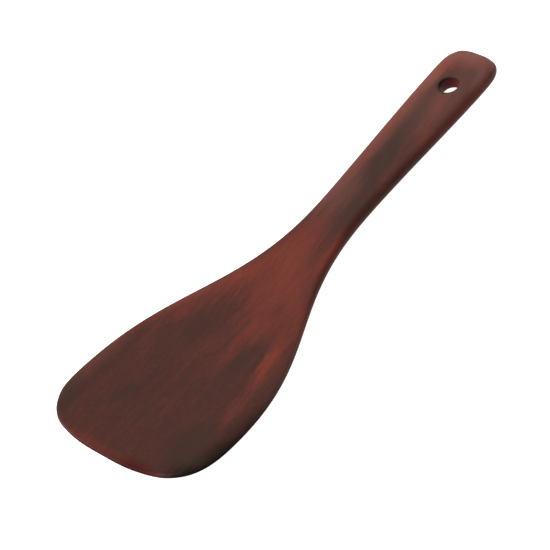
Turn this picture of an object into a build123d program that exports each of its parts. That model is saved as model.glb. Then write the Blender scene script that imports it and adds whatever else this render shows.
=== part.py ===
from build123d import *
import math
import os

# Rice paddle carved from one board of hardwood, with a hanging hole through the handle.
# It lies on its belly with the hollow face up. X runs from the blade's end to the handle's
# end, Y across and Z up. All sizes are in millimetres.

# Outline, seen from above
overall_length = 210.0
blade_width = 71.3
blade_widest_from_tip = 26.8
blade_end_fullness = 2.9      # 2 is an ellipse, and more is squarer
blade_shoulder_run = 45.6     # how far the blade's side holds its direction before it turns in
neck_shoulder_run = 45.0      # the same, seen from the neck
neck_from_tip = 127.7
neck_width = 20.0
handle_width = 23.7
handle_end_length = 13.6      # from the handle's widest place to its end
handle_end_fullness = 3.1

# Profile, seen from the side
tip_lift = 6.95               # middle of the blade's end above the middle of the belly
tip_slope = 0.147
belly_from_tip = 80.0
neck_lift = 1.61
neck_slope = 0.046
handle_end_lift = 3.8
handle_end_slope = 0.031

# Thickness of the board
tip_thickness = 2.4
blade_thickness = 3.2
handle_thickness = 5.5
tip_taper_length = 45.0
thickening_from_tip = 70.0
thickening_length = 58.0

# Rounded edge, measured inwards from the outline
blade_edge_reach = 1.3        # on the upper side
blade_under_reach = 2.2       # on the underside
handle_edge_reach = 2.0
handle_under_reach = 4.0
edge_turn = 70.0              # degrees that each half of the edge turns through

# Hanging hole
hole_diameter = 7.5
hole_from_handle_end = 18.6
hole_rim_radius = 0.35

# Fineness of the curves
end_points = 12               # outline points round each quarter of an end
side_points = 10              # outline points along each bend of a side
edge_points = 40              # points along each half of the edge
end_crowding = 0.6            # 0 spaces them evenly, and more draws them towards the two ends
edge_steps = 8
profile_points = 30
overrun = 5.0                 # length by which a cutting shape passes the wood
slope_reach = 0.5             # how far each side of the hole the handle's slope is read


def ease(share):
    """Goes from 0 to 1 with level ends."""
    share = min(max(share, 0.0), 1.0)
    return share * share * (3.0 - 2.0 * share)


def cubic(x, start, end):
    """Height at x on the cubic between two places, each given as (x, height, slope)."""
    run = end[0] - start[0]
    t = (x - start[0]) / run
    from_start = (1.0 - t) ** 2 * ((1.0 + 2.0 * t) * start[1] + t * run * start[2])
    from_end = t * t * ((3.0 - 2.0 * t) * end[1] - (1.0 - t) * run * end[2])
    return from_start + from_end


def middle_height(x):
    """Height of the board's middle surface above the belly's."""
    tip = (0.0, tip_lift, -tip_slope)
    belly = (belly_from_tip, 0.0, 0.0)
    neck = (neck_from_tip, neck_lift, neck_slope)
    handle_end = (overall_length, handle_end_lift, handle_end_slope)
    if x < belly_from_tip:
        return cubic(x, tip, belly)
    if x < neck_from_tip:
        return cubic(x, belly, neck)
    return cubic(x, neck, handle_end)


def handle_share(x):
    """0 where the board is as thick as the blade, and 1 where it is as thick as the handle."""
    return ease((x - thickening_from_tip) / thickening_length)


def thickness(x):
    """Thickness of the board at x."""
    at_blade = tip_thickness + (blade_thickness - tip_thickness) * ease(x / tip_taper_length)
    return at_blade + (handle_thickness - blade_thickness) * handle_share(x)


def edge_reach(x, upper):
    """How far the rounded edge reaches in from the outline, above it or below."""
    if upper:
        return blade_edge_reach + (handle_edge_reach - blade_edge_reach) * handle_share(x)
    return blade_under_reach + (handle_under_reach - blade_under_reach) * handle_share(x)


def rounded_end(length, half_width, fullness):
    """Points round a quarter of an end, from its middle to its widest place.

    Each is a distance back from the widest place, and a distance from the centre line.
    """
    points = []
    for step in range(end_points):
        angle = math.pi / 2.0 * step / end_points
        back = length * math.cos(angle) ** (2.0 / fullness)
        out = half_width * math.sin(angle) ** (2.0 / fullness)
        points.append((back, out))
    return points


def outline_points():
    """One side of the outline, from the middle of the blade's end to the handle's."""
    half_blade = blade_width / 2.0
    half_neck = neck_width / 2.0
    half_handle = handle_width / 2.0
    handle_widest = overall_length - handle_end_length
    points = []
    for back, out in rounded_end(blade_widest_from_tip, half_blade, blade_end_fullness):
        points.append((blade_widest_from_tip - back, out))
    shoulder = Bezier(
        (blade_widest_from_tip, half_blade),
        (blade_widest_from_tip + blade_shoulder_run, half_blade),
        (neck_from_tip - neck_shoulder_run, half_neck),
        (neck_from_tip, half_neck),
    )
    for step in range(side_points):
        place = shoulder @ (step / side_points)
        points.append((place.X, place.Y))
    for step in range(side_points):
        share = step / side_points
        x = neck_from_tip + (handle_widest - neck_from_tip) * share
        points.append((x, half_neck + (half_handle - half_neck) * ease(share)))
    points.append((handle_widest, half_handle))
    for back, out in reversed(rounded_end(handle_end_length, half_handle, handle_end_fullness)):
        points.append((handle_widest + back, out))
    return points


def smooth_curve(points):
    """A curve through evenly numbered points that meets the centre plane squarely."""
    places = [step / (len(points) - 1) for step in range(len(points))]
    return Edge.make_spline(points, tangents=[(0, 1, 0), (0, -1, 0)], parameters=places)


def edge_share(step):
    """Share of the edge's length at which a point stands, closer together round the ends."""
    angle = 2.0 * math.pi * step / edge_points
    return step / edge_points - end_crowding * math.sin(angle) / (2.0 * math.pi)


def edge_ring(side, turn, height=None):
    """The edge's curve after it has turned through so many degrees from the outline.

    With a height, the curve lies level there and keeps its place seen from above.
    """
    angle = math.radians(turn)
    full = math.radians(edge_turn)
    inward_share = (1.0 - math.cos(angle)) / (1.0 - math.cos(full))
    upward_share = math.sin(angle) / math.sin(full) / 2.0
    points = []
    for step in range(edge_points + 1):
        place = side.position_at(edge_share(step))
        along = side.tangent_at(edge_share(step))
        inward = Vector(along.Y, -along.X).normalized()
        spot = place + inward * (edge_reach(place.X, turn > 0.0) * inward_share)
        level = middle_height(spot.X) + thickness(spot.X) * upward_share
        points.append((spot.X, spot.Y, level if height is None else height))
    half = smooth_curve(points)
    return Wire([half, half.mirror(Plane.XZ)])


def edge_blank():
    """The paddle's outline and rounded edge, running on above and below the wood."""
    side = Edge.make_spline(outline_points(), tangents=[(0, 1, 0), (0, -1, 0)])
    step_turn = edge_turn / (edge_steps / 2.0 - 0.5)
    last_turn = step_turn * edge_steps / 2.0
    rings = []
    for step in range(edge_steps + 1):
        rings.append(edge_ring(side, step_turn * step - last_turn))
    top = max(tip_lift, handle_end_lift) + handle_thickness + overrun
    bottom = -blade_thickness - overrun
    top_ring = edge_ring(side, last_turn, top)
    bottom_ring = edge_ring(side, -last_turn, bottom)
    faces = Shell.make_loft(rings).faces()
    faces += Shell.make_loft([bottom_ring, rings[0]], ruled=True).faces()
    faces += Shell.make_loft([rings[-1], top_ring], ruled=True).faces()
    faces += [Face(bottom_ring), Face(top_ring)]
    return Solid(Shell(faces))


def profile_blank():
    """The board's bent profile, drawn from the side and larger than the outline."""
    upper = []
    lower = []
    for step in range(profile_points + 1):
        x = (overall_length + 2.0 * overrun) * step / profile_points - overrun
        upper.append((x, 0.0, middle_height(x) + thickness(x) / 2.0))
        lower.append((x, 0.0, middle_height(x) - thickness(x) / 2.0))
    lines = [Edge.make_spline(upper), Edge.make_spline(lower)]
    ends = [Edge.make_line(upper[0], lower[0]), Edge.make_line(upper[-1], lower[-1])]
    profile = Face(Wire(lines + ends))
    return extrude(profile, amount=blade_width / 2.0 + overrun, dir=(0, 1, 0), both=True)


def hole_place():
    """The middle of the hanging hole, with Z along the hole, square to the handle."""
    x = overall_length - hole_from_handle_end
    rise = middle_height(x + slope_reach) - middle_height(x - slope_reach)
    lean = math.degrees(math.atan2(rise, 2.0 * slope_reach))
    return Location((x, 0.0, middle_height(x)), (0.0, -lean, 0.0))


def carved_paddle():
    """The finished piece, with the middle of its underside at the origin."""
    blank = (profile_blank() & edge_blank()).solids().sort_by(SortBy.VOLUME)[-1]
    drill = hole_place() * Cylinder(hole_diameter / 2.0, handle_thickness + 2.0 * overrun)
    drilled = (blank - drill).solids().sort_by(SortBy.VOLUME)[-1]
    hole_wall = drilled.faces().filter_by(GeomType.CYLINDER)[0]
    rims = hole_wall.edges().filter_by(GeomType.LINE, reverse=True)
    softened = drilled.fillet(hole_rim_radius, rims)
    box = softened.bounding_box()
    return softened.moved(Location((-box.center().X, -box.center().Y, -box.min.Z)))


os.makedirs("parts", exist_ok=True)
paddle = carved_paddle()
paddle.label = "paddle"
export_step(paddle, "parts/paddle.step")
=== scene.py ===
"""Rice paddle carved from one board of dark red hardwood, laid on a pale floor.

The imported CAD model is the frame. Everything is in metres, with X from the blade's end to the
handle's end, Y across and Z up. Sizes in the classes are in millimetres unless they say so.
"""

from __future__ import annotations

import logging
import math
from collections.abc import Callable, Sequence
from dataclasses import dataclass, field
from enum import Enum
from typing import Any

import bmesh
import bpy
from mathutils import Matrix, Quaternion, Vector


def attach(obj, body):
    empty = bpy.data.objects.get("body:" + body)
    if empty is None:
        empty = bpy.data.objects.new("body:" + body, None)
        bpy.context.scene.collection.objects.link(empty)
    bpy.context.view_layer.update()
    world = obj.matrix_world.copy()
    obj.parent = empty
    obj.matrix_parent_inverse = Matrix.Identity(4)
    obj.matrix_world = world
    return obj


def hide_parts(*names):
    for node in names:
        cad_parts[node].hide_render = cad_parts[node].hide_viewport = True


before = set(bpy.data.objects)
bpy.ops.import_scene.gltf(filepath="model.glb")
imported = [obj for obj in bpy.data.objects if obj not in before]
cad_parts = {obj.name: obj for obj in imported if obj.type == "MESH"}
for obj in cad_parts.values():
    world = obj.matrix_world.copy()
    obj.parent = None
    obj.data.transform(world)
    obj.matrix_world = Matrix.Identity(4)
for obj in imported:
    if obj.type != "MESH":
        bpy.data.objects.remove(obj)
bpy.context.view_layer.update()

MM = 0.001
BOARD_LENGTH = 210.0
NECK_AT = 127.7  # distance from the blade's end
TOUCH = 0.01  # what is nearer than this counts as being there
STEP = 0.01  # over which a slope is measured
HALVINGS = 40  # enough to settle a place to its last digit
END_GRAIN = "end_grain"  # how squarely the surface cuts the grain, from 0 to 1

Triple = tuple[float, float, float]
Value = bpy.types.NodeSocket | float  # what a node's input takes

log = logging.getLogger("rice_paddle")


def linear(code: str, alpha: float = 1.0) -> tuple[float, float, float, float]:
    """Turns an sRGB hex colour into the linear colour that a socket takes.

    Args:
        code: Six hex digits, with or without a leading #.
        alpha: The fourth number of the colour.

    Returns:
        Linear red, green, blue and alpha.
    """
    code = code.lstrip("#")
    parts = [int(code[place : place + 2], 16) / 255.0 for place in (0, 2, 4)]
    red, green, blue = (
        part / 12.92 if part <= 0.04045 else ((part + 0.055) / 1.055) ** 2.4 for part in parts
    )
    return red, green, blue, alpha


def add(
    tree: bpy.types.NodeTree,
    kind: str,
    links: dict[str, Any] | Sequence[Any] = (),
    **settings: Any,
) -> bpy.types.Node:
    """Adds one node to a tree, with its settings and links.

    Args:
        tree: The node tree that it joins.
        kind: The node's type name without ShaderNode.
        links: An output socket or a value for each input, by name or in the inputs' order.
        settings: The node's own properties. A list of (place, colour) pairs under the name
            stops fills a colour ramp.

    Returns:
        The new node.
    """
    node = tree.nodes.new("ShaderNode" + kind)
    stops = settings.pop("stops", None)
    for name, value in settings.items():
        setattr(node, name, value)
    if stops:
        ramp = node.color_ramp
        while len(ramp.elements) < len(stops):
            ramp.elements.new(1.0)
        for element, (place, colour) in zip(ramp.elements, stops):
            element.position = place
            element.color = colour
    inputs = links.items() if isinstance(links, dict) else enumerate(links)
    for socket, value in inputs:
        if isinstance(value, bpy.types.NodeSocket):
            tree.links.new(value, node.inputs[socket])
        else:
            node.inputs[socket].default_value = value
    return node


class Part(Enum):
    """The kinds of mesh element that can be picked in edit mode."""

    POINTS = "verts"
    EDGES = "edges"
    FACES = "faces"


def pick(board: bpy.types.Object, kind: Part, wanted: Callable[[Any], bool]) -> int:
    """Selects the elements of the mesh in edit mode that are wanted, and no others.

    Args:
        board: The object in edit mode.
        kind: Which kind of element is picked.
        wanted: Says of one element whether it is picked.

    Returns:
        How many were picked.
    """
    bpy.context.tool_settings.mesh_select_mode = [kind is each for each in Part]
    bpy.ops.mesh.select_all(action="DESELECT")
    mesh = bmesh.from_edit_mesh(board.data)
    picked = [element for element in getattr(mesh, kind.value) if wanted(element)]
    for element in picked:
        element.select_set(True)
    bmesh.update_edit_mesh(board.data)
    return len(picked)


def ease(share: float) -> float:
    """Goes from 0 to 1 with level ends, as share does."""
    share = min(max(share, 0.0), 1.0)
    return share * share * (3.0 - 2.0 * share)


def bezier(t: float, a: float, b: float, c: float, d: float) -> float:
    """Finds the value at t on a cubic from a to d that is drawn towards b and c."""
    s = 1.0 - t
    return s * s * s * a + 3.0 * s * s * t * b + 3.0 * s * t * t * c + t * t * t * d


@dataclass(frozen=True)
class RoundedEnd:
    """One rounded end of the board, seen from above."""

    tip: float  # where its foremost point is along the board
    way: float  # 1 where the board lies towards the handle from there, and -1 towards the blade
    run: float  # from its foremost point to its widest place
    width: float
    fullness: float  # 2 is an ellipse, and more is squarer

    def rounding(self, share: float) -> float:
        """Goes from 1 to 0 along the end's curve, as share goes from 0 to 1."""
        return max(0.0, 1.0 - share**self.fullness) ** (1.0 / self.fullness)

    def half_width(self, gone: float) -> float:
        """Finds half the width at a distance from the foremost point."""
        return self.width / 2.0 * self.rounding(1.0 - gone / self.run)

    def setback(self, y: float) -> float:
        """Finds how far the end falls back beside the centre line, at a distance from it."""
        return self.run * (1.0 - self.rounding(abs(y) / (self.width / 2.0)))

    def lean(self, y: float) -> float:
        """Finds how fast the end falls back, at a distance from the centre line."""
        return (self.setback(abs(y) + STEP) - self.setback(y)) / STEP

    def corner(self) -> tuple[float, float]:
        """Finds where the end turns most, which is where the board's side begins.

        Returns:
            Setback from the foremost point, and distance from the centre line.
        """
        out = self.width / 2.0 * 0.5 ** (1.0 / self.fullness)
        return self.setback(out), out


@dataclass(frozen=True)
class BoardOutline:
    """The paddle's outline, seen from above. Places along it are measured from the blade's end.

    The blade is 0.08 mm narrower than the solid's, because smoothing widens it by nearly as much.
    """

    blade_end: RoundedEnd = RoundedEnd(0.0, 1.0, 26.8, 71.22, 2.9)
    handle_end: RoundedEnd = RoundedEnd(BOARD_LENGTH, -1.0, 13.6, 23.7, 3.1)
    blade_shoulder_run: float = 45.6
    neck_shoulder_run: float = 45.0
    neck_width: float = 20.0

    def nearer_end(self, x: float) -> RoundedEnd:
        """Picks the end that a place is nearer to."""
        return self.blade_end if x < BOARD_LENGTH / 2.0 else self.handle_end

    def half_width(self, x: float) -> float:
        """Finds half the board's width.

        Args:
            x: Distance from the blade's end.

        Returns:
            Distance from the centre line to the outline.
        """
        end = self.nearer_end(x)
        gone = abs(x - end.tip)
        if gone < end.run:
            return end.half_width(gone)
        if x < NECK_AT:
            return self.shoulder(x)
        widest_at = BOARD_LENGTH - self.handle_end.run
        grown = ease((x - NECK_AT) / (widest_at - NECK_AT))
        return (self.neck_width + (self.handle_end.width - self.neck_width) * grown) / 2.0

    def shoulder(self, x: float) -> float:
        """Finds half the width where the blade runs into the neck.

        Args:
            x: Distance from the blade's end.

        Returns:
            Distance from the centre line to the outline.
        """
        start = self.blade_end.run
        leaving = start + self.blade_shoulder_run
        arriving = NECK_AT - self.neck_shoulder_run
        low, high = 0.0, 1.0
        for _ in range(HALVINGS):
            t = (low + high) / 2.0
            here = bezier(t, start, leaving, arriving, NECK_AT)
            low, high = (t, high) if here < x else (low, t)
        half_blade, half_neck = self.blade_end.width / 2.0, self.neck_width / 2.0
        return bezier(low, half_blade, half_blade, half_neck, half_neck)

    def side_lean(self, x: float) -> float:
        """Finds how fast the board widens, at a distance from the blade's end."""
        return (self.half_width(x + STEP) - self.half_width(x - STEP)) / (2.0 * STEP)


@dataclass(frozen=True)
class BoardProfile:
    """The board's bend and thickness, seen from the side. Lifts are above the belly."""

    belly_at: float = 80.0
    belly_height: float = 1.828  # from the floor to the middle of the board's thickness
    tip_lift: float = 6.95
    tip_slope: float = -0.147
    neck_lift: float = 1.61
    neck_slope: float = 0.046
    handle_end_lift: float = 3.8
    handle_end_slope: float = 0.031
    tip_thickness: float = 2.4
    blade_thickness: float = 3.2
    handle_thickness: float = 5.5
    tip_taper: float = 45.0
    thickening_at: float = 70.0
    thickening_run: float = 58.0

    def middle(self, x: float) -> float:
        """Finds the height of the board's middle surface.

        Args:
            x: Distance from the blade's end.

        Returns:
            Height above the floor.
        """
        turns = (
            (0.0, self.tip_lift, self.tip_slope),
            (self.belly_at, 0.0, 0.0),
            (NECK_AT, self.neck_lift, self.neck_slope),
            (BOARD_LENGTH, self.handle_end_lift, self.handle_end_slope),
        )
        first = sum(x >= place for place in (self.belly_at, NECK_AT))
        (start, low, leaving), (end, high, arriving) = turns[first : first + 2]
        run = end - start
        after, before = low + leaving * run / 3.0, high - arriving * run / 3.0
        return bezier((x - start) / run, low, after, before, high) + self.belly_height

    def handle_share(self, x: float) -> float:
        """Goes from 0 in the blade to 1 in the handle."""
        return ease((x - self.thickening_at) / self.thickening_run)

    def thickness(self, x: float) -> float:
        """Finds the board's thickness.

        Args:
            x: Distance from the blade's end.

        Returns:
            Distance from the lower face to the upper one.
        """
        grown = (self.blade_thickness - self.tip_thickness) * ease(x / self.tip_taper)
        added = (self.handle_thickness - self.blade_thickness) * self.handle_share(x)
        return self.tip_thickness + grown + added


@dataclass(frozen=True)
class RoundedEdge:
    """The soft edge that runs all round the board, rounder below than above.

    A level is 0 on the outline, 1 where the upper face begins and -1 where the lower one does.
    """

    blade_reach: float = 1.3
    blade_under_reach: float = 2.2
    handle_reach: float = 2.0
    handle_under_reach: float = 4.0
    turn: float = math.radians(70.0)

    def inward(self, level: float) -> float:
        """Finds how far in the edge has come at a level, as a share of its reach."""
        return (1.0 - math.cos(level * self.turn)) / (1.0 - math.cos(self.turn))

    def upward(self, level: float) -> float:
        """Finds how high the edge has come at a level, as a share of half the thickness."""
        return math.sin(level * self.turn) / math.sin(self.turn)

    def reach(self, handle_share: float, level: float) -> float:
        """Finds how far in a face begins.

        Args:
            handle_share: 0 in the blade and 1 in the handle.
            level: Above 0 for the upper face, and otherwise for the lower one.

        Returns:
            Distance from the outline.
        """
        blade, handle = self.blade_under_reach, self.handle_under_reach
        if level > 0.0:
            blade, handle = self.blade_reach, self.handle_reach
        return blade + (handle - blade) * handle_share


@dataclass(frozen=True)
class HangingHole:
    """The hole drilled square through the handle, with its rims rubbed soft.

    Before smoothing it is three rings of corners on each side: the wall's, the rim's round that,
    and the apron's, which keeps the face round the rim flat.
    """

    diameter: float = 7.5
    place: float = BOARD_LENGTH - 18.6
    lean: float = 0.0219  # how fast the handle climbs there
    rim: float = 0.65  # out from the wall's ring to the rim's, and down from the face to the wall
    apron: float = 1.1  # out from the rim's ring to the apron's
    corners: int = 8  # of each ring
    first_inset: float = 0.2  # before a ring is given its radius
    patch_share: float = 0.8  # of the apron's ring, within which a drilled face has its middle
    facing: float = 0.5  # how squarely a drilled face looks up or down, at least

    @property
    def wall_ring(self) -> float:
        """How far out the wall's corners stand for the smoothed hole to have its diameter."""
        drawn_in = (2.0 + math.cos(2.0 * math.pi / self.corners)) / 3.0
        return self.diameter / 2.0 / drawn_in

    @property
    def rim_ring(self) -> float:
        """How far out the corners round the rim stand."""
        return self.wall_ring + self.rim

    @property
    def apron_ring(self) -> float:
        """How far out the apron's corners stand."""
        return self.rim_ring + self.apron


@dataclass
class CarvedPaddle:
    """The whole paddle: blade, neck and handle in one piece of wood, with its hanging hole.

    It is modelled as a block cut into courses, whose corners are moved to the carved shape's
    places, and is then smoothed. Along the block a place is a distance from the blade's end,
    across it a share of half its width, and its level goes from -1 at its underside to 1.
    """

    outline: BoardOutline = field(default_factory=BoardOutline)
    profile: BoardProfile = field(default_factory=BoardProfile)
    edge: RoundedEdge = field(default_factory=RoundedEdge)
    hole: HangingHole = field(default_factory=HangingHole)
    block_height: float = 9.143  # before carving, which gives every corner a new height
    # Where the block is cut along its length, besides at the hole
    stations: tuple[float, ...] = (
        11.0, 19.0, 29.0, 41.0, 54.0, 67.0, 80.0, 92.0, 104.0,
        116.0, 128.0, 140.0, 152.0, 163.0, 172.5, 180.5, 203.2,
    )
    patch_run: float = 5.0  # from the hole's middle to the cut before it and the one after
    side_line: float = 0.78
    patch_line: float = 0.4
    levels: tuple[float, ...] = (-0.5, 0.0, 0.5)
    end_draw: float = 28.0  # how far into the board the cuts follow the curve of its end
    settling_rounds: int = 12
    smoothing: int = 3

    def build(self) -> bpy.types.Object:
        """Models the paddle.

        Returns:
            The finished mesh object, in its place.
        """
        board = self.saw_block()
        self.carve(board)
        self.drill(board)
        self.sand(board)
        return board

    def saw_block(self) -> bpy.types.Object:
        """Adds a block of the paddle's outer size and cuts it into courses.

        Returns:
            The block, left in edit mode.
        """
        length, width = BOARD_LENGTH * MM, self.outline.blade_end.width * MM
        height = self.block_height * MM
        bpy.ops.object.select_all(action="DESELECT")
        bpy.ops.mesh.primitive_cube_add(
            size=1.0, location=(0.0, 0.0, height / 2.0), scale=(length, width, height)
        )
        bpy.ops.object.transform_apply(location=True, rotation=True, scale=True)
        board = bpy.context.object
        board.name = "carved_paddle"
        bpy.ops.object.mode_set(mode="EDIT")
        hole_cuts = [self.hole.place + step for step in (-self.patch_run, 0.0, self.patch_run)]
        stations = sorted([*self.stations, *hole_cuts])
        lines = (-self.side_line, -self.patch_line, 0.0, self.patch_line, self.side_line)
        cuts = [((station * MM - length / 2.0, 0, 0), (1, 0, 0)) for station in stations]
        cuts += [((0, line * width / 2.0, 0), (0, 1, 0)) for line in lines]
        cuts += [((0, 0, (1.0 + level) * height / 2.0), (0, 0, 1)) for level in self.levels]
        for place, across in cuts:
            bpy.ops.mesh.select_all(action="SELECT")
            bpy.ops.mesh.bisect(plane_co=place, plane_no=across)
        return board

    def carve(self, board: bpy.types.Object) -> None:
        """Moves each corner of the block's courses to its place on the carved shape.

        Args:
            board: The block, in edit mode.
        """
        half_width, half_height = self.outline.blade_end.width / 2.0, self.block_height / 2.0
        mesh = bmesh.from_edit_mesh(board.data)
        wanted, on_outline = [], []
        for point in mesh.verts:
            along = point.co.x / MM + BOARD_LENGTH / 2.0
            across, level = point.co.y / MM / half_width, point.co.z / MM / half_height - 1.0
            wanted.append(self.carved_place(along, across, level) * MM)
            on_outline.append(self.at_end(along) or abs(across) > 1.0 - TOUCH)
        for number, place in enumerate(self.set_out(mesh, wanted, on_outline)):
            pick(board, Part.POINTS, lambda point: point.index == number)
            mesh = bmesh.from_edit_mesh(board.data)
            mesh.verts.ensure_lookup_table()
            bpy.ops.transform.translate(value=place - mesh.verts[number].co)

    def set_out(
        self, mesh: bmesh.types.BMesh, wanted: list[Vector], on_outline: list[bool]
    ) -> list[Vector]:
        """Finds where the corners stand so that smoothing draws the outline to its place.

        Args:
            mesh: The block's mesh, all of four-sided faces.
            wanted: Each corner's place on the carved shape.
            on_outline: Whether it is a corner of the board's sides or ends.

        Returns:
            Each corner's place before smoothing.
        """
        beside = [
            [edge.other_vert(point).index for edge in point.link_edges] for point in mesh.verts
        ]
        opposite = [
            [corner.link_loop_next.link_loop_next.vert.index for corner in point.link_loops]
            for point in mesh.verts
        ]
        cage = [place.copy() for place in wanted]
        for _ in range(self.settling_rounds):
            smoothed = [
                self.smoothed(cage[number], [cage[n] for n in near], [cage[n] for n in far])
                for number, (near, far) in enumerate(zip(beside, opposite))
            ]
            for number, moves in enumerate(on_outline):
                if moves:
                    short = wanted[number] - smoothed[number]
                    cage[number] += Vector((short.x, short.y, 0.0))
        return cage

    def smoothed(self, corner: Vector, beside: list[Vector], opposite: list[Vector]) -> Vector:
        """Finds where endless smoothing takes a corner, by the weights of the smoothing modifier.

        Args:
            corner: The corner's own place.
            beside: The places at the other ends of its edges.
            opposite: The places across the four-sided faces that meet in it.

        Returns:
            Its place on the smooth surface.
        """
        count = len(beside)
        total = corner * count**2 + 4.0 * sum(beside, Vector()) + sum(opposite, Vector())
        return total / (count * (count + 5.0))

    def at_end(self, along: float) -> bool:
        """Says whether a place along the block is at either end of it."""
        return not TOUCH < along < BOARD_LENGTH - TOUCH

    def carved_place(self, along: float, across: float, level: float) -> Vector:
        """Finds where a corner of the block's courses goes on the carved shape.

        Args:
            along: Its distance from the block's end at the blade.
            across: Its distance from the centre line, as a share of half the width.
            level: Its height, from -1 on the block's underside to 1 on its top.

        Returns:
            Its place, in millimetres.
        """
        from_hole = abs(along - self.hole.place)
        if from_hole < self.patch_run + TOUCH and abs(across) < self.patch_line + TOUCH:
            x, y = self.place_by_hole(along, across)
        elif self.at_end(along) or abs(across) > 1.0 - TOUCH:
            x, y = self.place_on_edge(along, across, level)
        else:
            x, y = self.place_on_face(along, across, level)
        rise = self.edge.upward(level) * self.profile.thickness(x) / 2.0
        return Vector((x - BOARD_LENGTH / 2.0, y, self.profile.middle(x) + rise))

    def place_by_hole(self, along: float, across: float) -> tuple[float, float]:
        """Puts a corner of the patch that the hole is drilled in on the apron's ring.

        Args:
            along: The corner's place along the block.
            across: Its place across the block.

        Returns:
            Its distance from the blade's end and from the centre line.
        """
        from_hole = along - self.hole.place
        turn = math.atan2(across / self.patch_line, from_hole / self.patch_run)
        at_middle = max(abs(across), abs(from_hole)) < TOUCH
        out = 0.0 if at_middle else self.hole.apron_ring
        return self.hole.place + out * math.cos(turn), out * math.sin(turn)

    def place_on_edge(self, along: float, across: float, level: float) -> tuple[float, float]:
        """Puts a corner of the block's sides or ends on the rounded edge.

        Args:
            along: The corner's place along the block.
            across: Its place across the block.
            level: Its level.

        Returns:
            Its distance from the blade's end and from the centre line.
        """
        if self.at_end(along):
            end = self.outline.nearer_end(along)
            y = across * end.corner()[1]
            x = end.tip + end.way * end.setback(y)
            inward = Vector((end.way, -math.copysign(end.lean(y), y) if y else 0.0))
        else:
            x, y = along, math.copysign(self.outline.half_width(along), across)
            inward = Vector((self.outline.side_lean(x), -math.copysign(1.0, across)))
        inward.normalize()
        reach = self.edge.reach(self.profile.handle_share(x), level) * self.edge.inward(level)
        return x + inward.x * reach, y + inward.y * reach

    def place_on_face(self, along: float, across: float, level: float) -> tuple[float, float]:
        """Puts a corner of the block's top or underside on the carved face.

        Args:
            along: The corner's place along the block.
            across: Its place across the block.
            level: Its level.

        Returns:
            Its distance from the blade's end and from the centre line.
        """
        end = self.outline.nearer_end(along)
        corner_back, corner_out = end.corner()
        gone = abs(along - end.tip)
        fade = max(0.0, 1.0 - (gone - corner_back) / self.end_draw) ** 2
        draw = (corner_back - end.setback(across * corner_out)) * fade
        reach = self.edge.reach(self.profile.handle_share(along), level)
        return along - end.way * draw, across * (self.outline.half_width(along) - reach)

    def drill(self, board: bpy.types.Object) -> None:
        """Opens the hanging hole through the handle.

        Args:
            board: The carved board, in edit mode.
        """
        hole = self.hole
        height = self.profile.middle(hole.place)
        middle = Vector((hole.place - BOARD_LENGTH / 2.0, 0.0, height)) * MM
        patch = hole.apron_ring * hole.patch_share * MM
        for side in (1.0, -1.0):
            face = self.profile.thickness(hole.place) / 2.0 * side * MM
            centre = middle + Vector((-hole.lean * face, 0.0, face))
            count = pick(
                board,
                Part.FACES,
                lambda face: face.normal.z * side > hole.facing
                and (face.calc_center_median() - centre).xy.length < patch,
            )
            log.info("hole: %d faces on side %+d", count, side)
            for radius in (hole.rim_ring, hole.wall_ring):
                bpy.ops.mesh.inset(thickness=hole.first_inset * MM, depth=0.0)
                self.set_ring(board, centre, radius)
            bpy.ops.mesh.extrude_region_move(
                TRANSFORM_OT_translate={"value": (0.0, 0.0, -side * hole.rim * MM)}
            )
            self.set_ring(board, centre, hole.wall_ring)
            bpy.ops.mesh.delete(type="FACE")
        pick(board, Part.EDGES, lambda edge: edge.is_boundary)
        bpy.ops.mesh.bridge_edge_loops(number_cuts=1)

    def set_ring(self, board: bpy.types.Object, centre: Vector, radius: float) -> None:
        """Resizes the picked faces round the hole's centre to a wanted radius.

        Args:
            board: The board, in edit mode, with the faces inside the ring picked.
            centre: The hole's centre, in metres.
            radius: The wanted radius, in millimetres.
        """
        mesh = bmesh.from_edit_mesh(board.data)
        spread = max((point.co - centre).xy.length for point in mesh.verts if point.select)
        share = radius * MM / spread
        bpy.ops.transform.resize(value=(share, share, 1.0), center_override=centre)

    def sand(self, board: bpy.types.Object) -> None:
        """Smooths the courses away, and notes on the surface how squarely it cuts the grain.

        Args:
            board: The drilled board, in edit mode.
        """
        bpy.ops.mesh.select_all(action="SELECT")
        bpy.ops.mesh.remove_doubles(threshold=TOUCH * MM)
        bpy.ops.mesh.normals_make_consistent(inside=False)
        bpy.ops.object.mode_set(mode="OBJECT")
        smooth = board.modifiers.new("sanding", "SUBSURF")
        smooth.levels = smooth.render_levels = self.smoothing
        bpy.ops.object.modifier_apply(modifier=smooth.name)
        bpy.ops.object.shade_smooth()
        cuts_grain = board.data.attributes.new(END_GRAIN, "FLOAT", "POINT")
        for point in board.data.vertices:
            cuts_grain.data[point.index].value = abs(point.normal.x)


class Tone(Enum):
    """Which way a mark pulls the colour: olive and red are the wood's figure, pale is paler wood
    with painted sheen, dark is painted shade, and the soak is oil in the wood with painted shade.
    """

    OLIVE = "olive"
    RED = "red"
    PALE = "pale"
    DARK = "dark"
    SOAKED = "soaked"


@dataclass(frozen=True)
class FigureAndPaintedLightMark:
    """One long soft mark where the colour drifts, in the wood's figure or as painted shade or
    sheen.

    Its place is the distance from the blade's end, the distance from the centre line and the
    height, and its reach is how far it goes from there each way. Its slant is the angle in
    degrees between it and the centre line, and a ragged mark frays along the grain.
    """

    tone: Tone
    strength: float
    place: Triple
    reach: Triple
    slant: float = 0.0
    ragged: bool = True


@dataclass(frozen=True)
class GrainClouds:
    """One layer of the grain, as soft clouds drawn out along the board."""

    size: Triple  # how long, wide and deep a cloud is
    detail: float  # how many layers of finer clouds are added to it
    fine_share: float = 0.55  # how strong each of these is next to the one before


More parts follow.
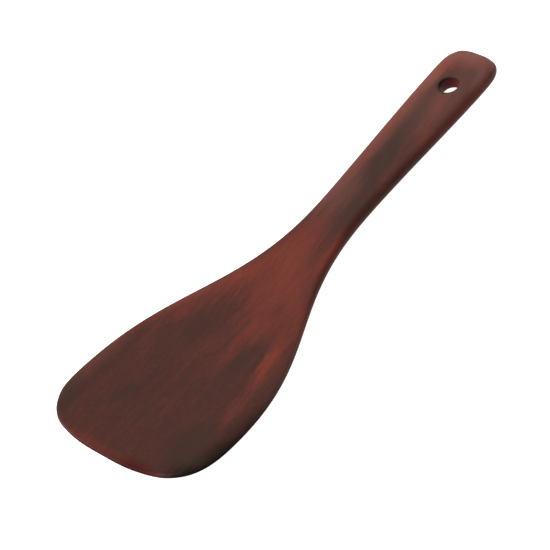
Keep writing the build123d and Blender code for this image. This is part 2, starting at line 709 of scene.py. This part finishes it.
@dataclass(frozen=True)
class OiledHardwood:
    """Dark red hardwood, sanded smooth and wiped with oil.

    The oil sinks in and leaves no film, so the eye gets a deep colour with a low, broad sheen,
    straight grain along the board, soft marks of olive and orange-red, and fine open pores.
    Where the wood has taken up most oil, at the ends and in the hole, it is darker and duller.
    Painted shade darkens and dulls the hole's rim and wall and the blade's near corner and end,
    and paler wood with painted sheen lightens the neck, the handle and the blade's far side.
    """

    tones: tuple[tuple[float, str], ...] = (
        (0.08, "3D2F18"),  # olive
        (0.32, "3E2013"),  # shadow
        (0.50, "452017"),  # heartwood
        (0.74, "65281B"),  # red
        (1.00, "7A301E"),  # flame
    )
    middle_tone: float = 0.5
    # paler wood, also the colour in which sheen is painted on the neck, the handle and the blade's
    # far side
    pale: str = "8B554A"
    # near-black brown of the painted shade
    dark: str = "20130E"
    # dark red of oil in end grain, also used to paint shade on the blade's near corner and end
    soak_and_shade_red: str = "641310"
    band: GrainClouds = GrainClouds((20.0, 6.0, 6.0), 3.0)
    streak: GrainClouds = GrainClouds((16.0, 2.2, 2.2), 2.0)
    # Real fibres and pores are too fine to show, so these fibres are drawn ten times as wide or
    # more, and these pores about twice.
    fibre: GrainClouds = GrainClouds((9.0, 0.5, 0.5), 2.0)
    pore: GrainClouds = GrainClouds((3.2, 0.34, 0.34), 0.0)
    band_strength: float = 0.28
    streak_strength: float = 0.12
    fibre_strength: float = 0.06
    fibre_gain: float = 1.1  # how much stronger the fibres are where the wood is red
    pore_strength: float = 0.12
    pore_edge: tuple[float, float] = (0.58, 0.70)  # how dense a cloud is at a pore's edge
    grain_slant: float = 5.0  # degrees between the grain and the centre line
    fray: GrainClouds = GrainClouds((16.0, 2.2, 2.2), 2.0, 0.5)
    wander: Triple = (6.0, 2.0, 2.0)  # how far fraying may move a ragged mark's edge
    warm_cut: tuple[float, float] = (0.15, 0.45)  # how squarely cut the grain is as it warms
    end_warmth: float = 0.18
    soaked_cut: tuple[float, float] = (0.5, 0.9)  # and as it soaks up oil
    end_soak: float = 0.9
    relief_strength: float = 0.3
    relief_depth: float = 0.06
    pore_depth: float = 0.8  # as a share of the fibres' own depth
    dull_streak: tuple[float, float] = (0.3, 0.7)  # where a streak goes from least to most rough
    roughness: tuple[float, float] = (0.42, 0.52)
    ior: float = 1.38
    sheen: tuple[float, float] = (0.5, 0.18)  # of bare wood, and of wood full of oil or under painted shade
    marks: tuple[FigureAndPaintedLightMark, ...] = (
        # Olive-brown patches on the blade
        FigureAndPaintedLightMark(Tone.OLIVE, 0.38, (11.0, 32.0, 8.0), (15.0, 9.0, 5.0)),
        FigureAndPaintedLightMark(Tone.OLIVE, 0.20, (25.0, 13.0, 7.0), (9.0, 4.0, 5.0), -15.0),
        FigureAndPaintedLightMark(Tone.OLIVE, 0.13, (59.0, 12.0, 4.0), (11.0, 5.0, 4.0), 8.0),
        FigureAndPaintedLightMark(Tone.OLIVE, 0.09, (55.0, -12.5, 4.0), (13.0, 4.5, 4.0), 8.0),
        FigureAndPaintedLightMark(Tone.OLIVE, 0.27, (17.0, -24.0, 7.0), (17.0, 9.0, 6.0)),
        FigureAndPaintedLightMark(Tone.OLIVE, 0.45, (14.0, -34.0, 8.0), (24.0, 9.0, 7.0), -22.0),
        # Olive-brown along the middle of the neck and the handle, and round the hole
        FigureAndPaintedLightMark(Tone.OLIVE, 0.32, (152.0, -0.5, 7.0), (30.0, 5.0, 5.0), 9.0),
        FigureAndPaintedLightMark(Tone.OLIVE, 0.14, (128.0, -6.0, 6.0), (20.0, 5.0, 6.0)),
        FigureAndPaintedLightMark(Tone.OLIVE, 0.16, (108.0, -6.0, 6.0), (14.0, 4.0, 6.0)),
        FigureAndPaintedLightMark(Tone.OLIVE, 0.30, (192.0, 1.5, 8.0), (9.0, 6.0, 6.0)),
        # Painted shade on the hole's rim and wall
        FigureAndPaintedLightMark(Tone.DARK, 3.20, (191.2, 0.4, 7.8), (5.1, 5.1, 2.8), 0.0, False),
        FigureAndPaintedLightMark(Tone.DARK, 0.26, (193.2, 0.0, 4.8), (5.5, 5.5, 3.6), 0.0, False),
        # Painted shade on the blade's near corner, near edge and end, and a darker patch in its
        # middle
        FigureAndPaintedLightMark(Tone.DARK, 0.85, (14.0, -36.0, 8.0), (28.0, 11.0, 8.0), -16.0),
        FigureAndPaintedLightMark(Tone.DARK, 0.60, (6.0, -30.0, 8.0), (10.0, 9.0, 8.0), -40.0),
        FigureAndPaintedLightMark(Tone.DARK, 0.80, (33.0, -36.5, 6.0), (27.0, 10.0, 7.0), 4.0),
        FigureAndPaintedLightMark(Tone.DARK, 0.14, (35.0, 6.0, 5.0), (16.0, 8.0, 6.0)),
        FigureAndPaintedLightMark(Tone.DARK, 1.50, (-0.8, 0.0, 7.9), (5.5, 34.0, 2.4), 0.0, False),
        FigureAndPaintedLightMark(Tone.DARK, 0.40, (1.0, -16.0, 9.0), (5.5, 14.0, 7.0), 0.0, False),
        # Oil taken up by the hole's wall, and painted shade on the near corner and the blade's
        # end, in dark oiled red
        FigureAndPaintedLightMark(Tone.SOAKED, 0.25, (19.0, -37.0, 8.0), (34.0, 9.0, 8.0), -6.0, False),
        FigureAndPaintedLightMark(Tone.SOAKED, 0.60, (1.6, -15.0, 9.0), (4.5, 13.0, 7.0), 0.0, False),
        FigureAndPaintedLightMark(Tone.SOAKED, 0.35, (-0.5, 0.0, 8.6), (3.0, 34.0, 3.0), 0.0, False),
        FigureAndPaintedLightMark(Tone.SOAKED, 3.00, (191.4, 0.0, 5.2), (6.0, 6.0, 4.0), 0.0, False),
        # Red of the neck and the shoulders
        FigureAndPaintedLightMark(Tone.RED, 0.40, (92.0, -2.0, 4.0), (34.0, 18.0, 8.0)),
        FigureAndPaintedLightMark(Tone.RED, 0.22, (111.0, 3.0, 5.0), (22.0, 9.0, 7.0)),
        FigureAndPaintedLightMark(Tone.RED, 0.24, (109.0, -9.9, 5.0), (18.0, 2.6, 6.0), 10.0, False),
        # Orange-red streaks on the near side of the blade
        FigureAndPaintedLightMark(Tone.RED, 0.26, (77.0, -17.0, 4.0), (24.0, 7.0, 6.0), 18.0),
        FigureAndPaintedLightMark(Tone.RED, 0.15, (77.0, -22.0, 4.0), (16.0, 4.5, 6.0), 28.0, False),
        FigureAndPaintedLightMark(Tone.RED, 0.38, (58.0, -22.5, 4.0), (18.0, 5.0, 5.0), 10.0),
        FigureAndPaintedLightMark(Tone.RED, 0.16, (38.0, -26.0, 5.0), (12.0, 4.0, 5.0), 4.0),
        FigureAndPaintedLightMark(Tone.RED, 0.22, (62.0, -6.5, 4.0), (20.0, 4.5, 5.0), 6.0),
        FigureAndPaintedLightMark(Tone.RED, 0.20, (70.0, -10.0, 4.0), (12.0, 7.0, 5.0)),
        # Red of the blade's far side, middle and end
        FigureAndPaintedLightMark(Tone.RED, 0.30, (88.0, 12.0, 5.0), (26.0, 7.0, 6.0), -14.0),
        FigureAndPaintedLightMark(Tone.RED, 0.18, (64.0, 22.5, 5.0), (18.0, 7.0, 6.0), -20.0),
        FigureAndPaintedLightMark(Tone.RED, 0.18, (54.0, 30.0, 5.0), (34.0, 3.0, 6.0), -15.0, False),
        FigureAndPaintedLightMark(Tone.RED, 0.32, (76.0, 22.0, 5.0), (24.0, 6.0, 6.0), -30.0, False),
        FigureAndPaintedLightMark(Tone.RED, 0.09, (60.0, 2.0, 4.0), (14.0, 7.0, 5.0)),
        FigureAndPaintedLightMark(Tone.RED, 0.22, (1.0, 6.0, 9.0), (4.0, 30.0, 7.0), 0.0, False),
        # Red along both sides of the handle, and at its end
        FigureAndPaintedLightMark(Tone.RED, 0.32, (160.0, 8.0, 7.0), (48.0, 5.0, 7.0), 2.0),
        FigureAndPaintedLightMark(Tone.RED, 0.16, (176.0, -4.0, 7.0), (22.0, 5.0, 6.0), 10.0),
        FigureAndPaintedLightMark(Tone.RED, 0.16, (184.0, -11.5, 5.0), (28.0, 4.0, 7.0)),
        FigureAndPaintedLightMark(Tone.RED, 0.16, (168.0, -9.0, 6.0), (14.0, 3.5, 6.0), 0.0, False),
        FigureAndPaintedLightMark(Tone.RED, 0.60, (202.0, 8.0, 7.0), (15.0, 6.5, 7.0), 0.0, False),
        FigureAndPaintedLightMark(Tone.RED, 0.30, (207.0, -1.0, 7.0), (7.0, 14.0, 7.0), 0.0, False),
        FigureAndPaintedLightMark(Tone.RED, 0.28, (188.0, 10.5, 8.0), (24.0, 3.0, 6.0), 1.0, False),
        FigureAndPaintedLightMark(Tone.RED, 0.14, (182.0, 7.6, 8.0), (18.0, 3.6, 6.0), 2.0, False),
        FigureAndPaintedLightMark(Tone.RED, 0.30, (193.0, 8.2, 8.0), (9.0, 4.0, 6.0), 0.0, False),
        # Painted sheen along the far side of the blade, in paler wood's colour
        FigureAndPaintedLightMark(Tone.PALE, 0.30, (34.0, 37.0, 7.0), (34.0, 10.0, 7.0), 0.0, False),
        FigureAndPaintedLightMark(Tone.PALE, 0.34, (70.0, 27.0, 6.0), (40.0, 6.5, 7.0), -28.0, False),
        # Paler wood and a painted sheen along the neck and the handle, most of all at its end
        FigureAndPaintedLightMark(Tone.PALE, 0.35, (201.0, -9.0, 6.0), (12.0, 6.0, 7.0)),
        FigureAndPaintedLightMark(Tone.PALE, 0.38, (165.0, 9.0, 7.0), (62.0, 7.8, 8.0)),
        FigureAndPaintedLightMark(Tone.PALE, 0.33, (132.0, 5.0, 6.0), (20.0, 10.0, 7.0)),
        FigureAndPaintedLightMark(Tone.PALE, 0.26, (186.0, -2.0, 7.0), (32.0, 12.0, 9.0)),
        FigureAndPaintedLightMark(Tone.PALE, 0.40, (196.0, 9.0, 8.0), (19.0, 5.0, 6.0)),
        FigureAndPaintedLightMark(Tone.PALE, 0.90, (211.0, 3.0, 7.0), (14.0, 18.0, 9.0), 0.0, False),
    )

    def material(self) -> bpy.types.Material:
        """Builds the wood as a node material.

        Returns:
            The finished material.
        """
        # Oil in the grain, without a film on it, gives a deep colour under a low, broad sheen.
        wood = bpy.data.materials.new("oiled_red_hardwood")
        wood.use_nodes = True
        tree = wood.node_tree
        tree.nodes.clear()
        place = add(tree, "TexCoord").outputs["Object"]
        cut = add(tree, "Attribute", attribute_name=END_GRAIN).outputs["Fac"]
        band, streak, fibre = (
            self.clouds(tree, place, layer).outputs["Fac"]
            for layer in (self.band, self.streak, self.fibre)
        )
        pores = self.pores(tree, place)
        pulls = self.figure(tree, place)
        gain = (pulls[Tone.RED], self.fibre_gain, self.fibre_strength)
        layers = (
            (band, self.band_strength),
            (streak, self.streak_strength),
            (fibre, add(tree, "Math", gain, operation="MULTIPLY_ADD").outputs[0]),
            (pores, -self.pore_strength),
        )
        tone = self.tone(tree, layers, pulls, cut)
        relief = {
            "Height": self.weigh(tree, pores, -self.pore_depth, fibre),
            "Strength": self.relief_strength,
            "Distance": self.relief_depth * MM,
        }
        gloss = (streak, *self.dull_streak, *self.roughness)
        # Oil in the wood and the painted shade both lower the specular level.
        oil_and_shade = add(tree, "Math", (pulls[Tone.DARK], pulls[Tone.SOAKED]), operation="ADD")
        dulled = (oil_and_shade.outputs[0], 0.0, 1.0, *self.sheen)
        skin = {
            "Base Color": self.colour(tree, tone, pulls, cut),
            "Roughness": add(tree, "MapRange", gloss).outputs[0],
            "Specular IOR Level": add(tree, "MapRange", dulled).outputs[0],
            "IOR": self.ior,
            "Normal": add(tree, "Bump", relief).outputs[0],
        }
        surface = add(tree, "BsdfPrincipled", skin).outputs[0]
        add(tree, "OutputMaterial", {"Surface": surface})
        return wood

    def tone(
        self,
        tree: bpy.types.NodeTree,
        layers: Sequence[tuple[bpy.types.NodeSocket, Value]],
        pulls: dict[Tone, Value],
        cut: bpy.types.NodeSocket,
    ) -> bpy.types.NodeSocket:
        """Adds the tone, which goes from 0 where the wood is olive to 1 where it is flame red.

        Args:
            tree: The material's tree.
            layers: The layers of the grain, each with its strength.
            pulls: How strongly the marks pull the colour, for each tone.
            cut: How squarely the surface cuts the grain.

        Returns:
            The tone.
        """
        tone: Value = self.middle_tone
        for layer, strength in layers:
            tone = self.weigh(tree, layer, strength, tone)
        warmth = (cut, *self.warm_cut, 0.0, self.end_warmth)
        warmed = add(tree, "MapRange", warmth, interpolation_type="SMOOTHSTEP").outputs[0]
        drifts = ((pulls[Tone.RED], "ADD"), (pulls[Tone.OLIVE], "SUBTRACT"), (warmed, "ADD"))
        for drift, way in drifts:
            tone = add(tree, "Math", (tone, drift), operation=way).outputs[0]
        return tone

    def colour(
        self,
        tree: bpy.types.NodeTree,
        tone: bpy.types.NodeSocket,
        pulls: dict[Tone, Value],
        cut: bpy.types.NodeSocket,
    ) -> bpy.types.NodeSocket:
        """Adds the wood's colour.

        Args:
            tree: The material's tree.
            tone: The tone, from olive to flame red.
            pulls: How strongly the marks pull the colour, for each tone.
            cut: How squarely the surface cuts the grain.

        Returns:
            The colour.
        """
        stops = [(place, linear(code)) for place, code in self.tones]
        colour = add(tree, "ValToRGB", {"Fac": tone}, stops=stops).outputs[0]
        # Oil in end grain and in the hole's wall darkens the wood towards dark red, and the same
        # wash paints shade on the blade's near corner and end.
        soak = (cut, *self.soaked_cut, 0.0, self.end_soak)
        soaked = add(tree, "MapRange", soak, interpolation_type="SMOOTHSTEP").outputs[0]
        soaking = (soaked, pulls[Tone.SOAKED])
        soaked = add(tree, "Math", soaking, operation="ADD", use_clamp=True).outputs[0]
        # The pale wash is paler wood with painted sheen, the soak wash oil in the wood with
        # painted shade, and the dark wash painted shade.
        washes = (
            (pulls[Tone.PALE], self.pale),
            (soaked, self.soak_and_shade_red),
            (pulls[Tone.DARK], self.dark),
        )
        for share, code in washes:
            wash = {"Fac": share, "Color1": colour, "Color2": linear(code)}
            colour = add(tree, "MixRGB", wash).outputs[0]
        return colour

    def clouds(
        self, tree: bpy.types.NodeTree, place: bpy.types.NodeSocket, layer: GrainClouds
    ) -> bpy.types.Node:
        """Adds one layer of the grain.

        Args:
            tree: The material's tree.
            place: The place on the wood, in metres.
            layer: The layer.

        Returns:
            The layer's noise, which goes from 0 to 1 about a middle of 0.5.
        """
        drawing = {
            "Vector": place,
            "Rotation": (0.0, 0.0, math.radians(self.grain_slant)),
            "Scale": tuple(side * MM for side in layer.size),
        }
        noise = {
            "Vector": add(tree, "Mapping", drawing, vector_type="TEXTURE").outputs[0],
            "Scale": 1.0,
            "Detail": layer.detail,
            "Roughness": layer.fine_share,
        }
        return add(tree, "TexNoise", noise)

    def pores(
        self, tree: bpy.types.NodeTree, place: bpy.types.NodeSocket
    ) -> bpy.types.NodeSocket:
        """Adds the open pores, as the densest parts of small clouds.

        Args:
            tree: The material's tree.
            place: The place on the wood, in metres.

        Returns:
            1 in a pore and 0 beside it.
        """
        density = self.clouds(tree, place, self.pore).outputs["Fac"]
        links = (density, *self.pore_edge, 0.0, 1.0)
        return add(tree, "MapRange", links, interpolation_type="SMOOTHSTEP").outputs[0]

    def strayed(
        self, tree: bpy.types.NodeTree, place: bpy.types.NodeSocket
    ) -> bpy.types.NodeSocket:
        """Adds a place that strays from the true one along the grain, for ragged marks.

        Args:
            tree: The material's tree.
            place: The place on the wood, in metres.

        Returns:
            The strayed place, in metres.
        """
        stray = self.clouds(tree, place, self.fray).outputs["Color"]
        span = tuple(2.0 * side * MM for side in self.wander)
        links = (stray, span, tuple(-side * MM for side in self.wander))
        shift = add(tree, "VectorMath", links, operation="MULTIPLY_ADD").outputs[0]
        return add(tree, "VectorMath", (place, shift), operation="ADD").outputs[0]

    def weigh(
        self, tree: bpy.types.NodeTree, layer: bpy.types.NodeSocket, strength: Value, before: Value
    ) -> bpy.types.NodeSocket:
        """Adds a layer of the grain to what the layers before it gave.

        Args:
            tree: The material's tree.
            layer: The layer, about a middle of 0.5.
            strength: How much it counts, below 0 where it takes away.
            before: What the layers before it gave.

        Returns:
            What they give together.
        """
        swing = add(tree, "Math", (layer, 0.5), operation="SUBTRACT").outputs[0]
        return add(tree, "Math", (swing, strength, before), operation="MULTIPLY_ADD").outputs[0]

    def figure(
        self, tree: bpy.types.NodeTree, place: bpy.types.NodeSocket
    ) -> dict[Tone, Value]:
        """Adds all the marks, of the wood's figure and of painted shade and sheen.

        Args:
            tree: The material's tree.
            place: The place on the wood, in metres.

        Returns:
            How strongly they pull the colour, for each tone.
        """
        strayed = self.strayed(tree, place)
        pulls: dict[Tone, Value] = dict.fromkeys(Tone, 0.0)
        for mark in self.marks:
            x, y, z = mark.place
            drawing = {
                "Vector": strayed if mark.ragged else place,
                "Location": Vector((x - BOARD_LENGTH / 2.0, y, z)) * MM,
                "Rotation": (0.0, 0.0, math.radians(mark.slant)),
                "Scale": Vector(mark.reach) * MM,
            }
            steps = add(tree, "Mapping", drawing, vector_type="TEXTURE").outputs[0]
            away = add(tree, "VectorMath", (steps,), operation="LENGTH").outputs["Value"]
            fall = (away, 0.0, 1.0, mark.strength, 0.0)
            pull = add(tree, "MapRange", fall, interpolation_type="SMOOTHSTEP").outputs[0]
            links = (pull, pulls[mark.tone])
            pulls[mark.tone] = add(tree, "Math", links, operation="ADD").outputs[0]
        return pulls


@dataclass(frozen=True)
class LitPaper:
    """Matt white studio paper, lit through from behind."""

    colour: str = "F4F3F1"
    roughness: float = 0.9
    glow: float = 1.12

    def material(self) -> bpy.types.Material:
        """Builds the paper as a node material.

        Returns:
            The finished material.
        """
        # Light through the paper gives an even white ground that shows no grain and no shadow.
        paper = bpy.data.materials.new("lit_matt_paper")
        paper.use_nodes = True
        tree = paper.node_tree
        tree.nodes.clear()
        skin = {
            "Base Color": linear(self.colour),
            "Roughness": self.roughness,
            "Emission Color": linear(self.colour),
            "Emission Strength": self.glow,
        }
        add(tree, "OutputMaterial", {"Surface": add(tree, "BsdfPrincipled", skin).outputs[0]})
        return paper


@dataclass(frozen=True)
class SoftLamp:
    """One soft square lamp that faces the paddle. Its place and side are in metres."""

    name: str
    place: Triple
    side: float
    watts: float

    def hang(self) -> None:
        """Hangs the lamp in its place."""
        light = bpy.data.lights.new(self.name, "AREA")
        light.size = self.side
        light.energy = self.watts
        lamp = bpy.data.objects.new(self.name, light)
        lamp.location = self.place
        lamp.rotation_euler = Vector(self.place).to_track_quat("Z", "Y").to_euler()
        lamp.visible_camera = False
        bpy.context.scene.collection.objects.link(lamp)


@dataclass
class Studio:
    """Pale floor, soft lights and the camera of the photograph. Places are in metres."""

    camera_at: Triple = (-0.336460, -0.492215, 0.599602)
    camera_aim: Triple = (-0.01087, 0.00547, 0.0)
    camera_roll: float = -22.163  # degrees
    lens_mm: float = 157.66
    sensor_mm: float = 36.0
    floor_size: float = 6.0
    paper: LitPaper = field(default_factory=LitPaper)
    sky_colour: str = "FFFFFF"
    sky_strength: float = 0.28
    bounce_strength: float = 0.9
    horizon: float = 0.1  # how far above and below level the sky turns into the floor's bounce
    lamps: tuple[SoftLamp, ...] = (
        SoftLamp("key", (-1.0, 0.9, 1.6), 1.8, 43.0),
        SoftLamp("sheen", (0.26, 0.28, 0.24), 0.15, 0.11),
        SoftLamp("end", (1.3, 0.3, 0.45), 0.5, 3.0),
    )

    def build(self) -> None:
        """Makes the floor, the lights and the camera."""
        self.lay_floor()
        self.light_room()
        for lamp in self.lamps:
            lamp.hang()
        self.set_camera()

    def lay_floor(self) -> None:
        """Lays the pale floor under the paddle, hidden from diffuse and glossy rays."""
        bpy.ops.object.select_all(action="DESELECT")
        bpy.ops.mesh.primitive_plane_add(size=self.floor_size, location=(0.0, 0.0, 0.0))
        floor = bpy.context.object
        floor.name = "floor"
        floor.data.materials.append(self.paper.material())
        floor.visible_diffuse = False
        floor.visible_glossy = False

    def light_room(self) -> None:
        """Fills the room with even white light, and with more from below, off the floor."""
        world = bpy.data.worlds.new("studio")
        world.use_nodes = True
        tree = world.node_tree
        tree.nodes.clear()
        heading = add(tree, "TexCoord").outputs["Generated"]
        height = add(tree, "SeparateXYZ", (heading,)).outputs["Z"]
        turn = (height, -self.horizon, self.horizon, self.bounce_strength, self.sky_strength)
        strength = add(tree, "MapRange", turn, interpolation_type="SMOOTHSTEP").outputs[0]
        light = {"Color": linear(self.sky_colour), "Strength": strength}
        add(tree, "OutputWorld", {"Surface": add(tree, "Background", light).outputs[0]})
        bpy.context.scene.world = world

    def set_camera(self) -> None:
        """Sets up the camera at the photograph's angle."""
        lens = bpy.data.cameras.new("photograph")
        lens.lens = self.lens_mm
        lens.sensor_width = self.sensor_mm
        camera = bpy.data.objects.new("photograph", lens)
        camera.location = self.camera_at
        back = Vector(self.camera_at) - Vector(self.camera_aim)
        roll = Quaternion((0.0, 0.0, 1.0), math.radians(self.camera_roll))
        camera.rotation_euler = (back.to_track_quat("Z", "Y") @ roll).to_euler()
        bpy.context.scene.collection.objects.link(camera)
        bpy.context.scene.camera = camera


def main() -> None:
    """Builds the paddle and the studio."""
    logging.basicConfig(level=logging.INFO, format="%(name)s: %(message)s")
    wood = OiledHardwood().material()
    paddle = CarvedPaddle().build()
    paddle.data.materials.clear()
    paddle.data.materials.append(wood)
    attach(paddle, "root")
    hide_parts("paddle")
    log.info("%s: %d faces", paddle.name, len(paddle.data.polygons))
    Studio().build()
    bpy.context.scene.view_settings.view_transform = "Standard"


if __name__ == "__main__":
    main()
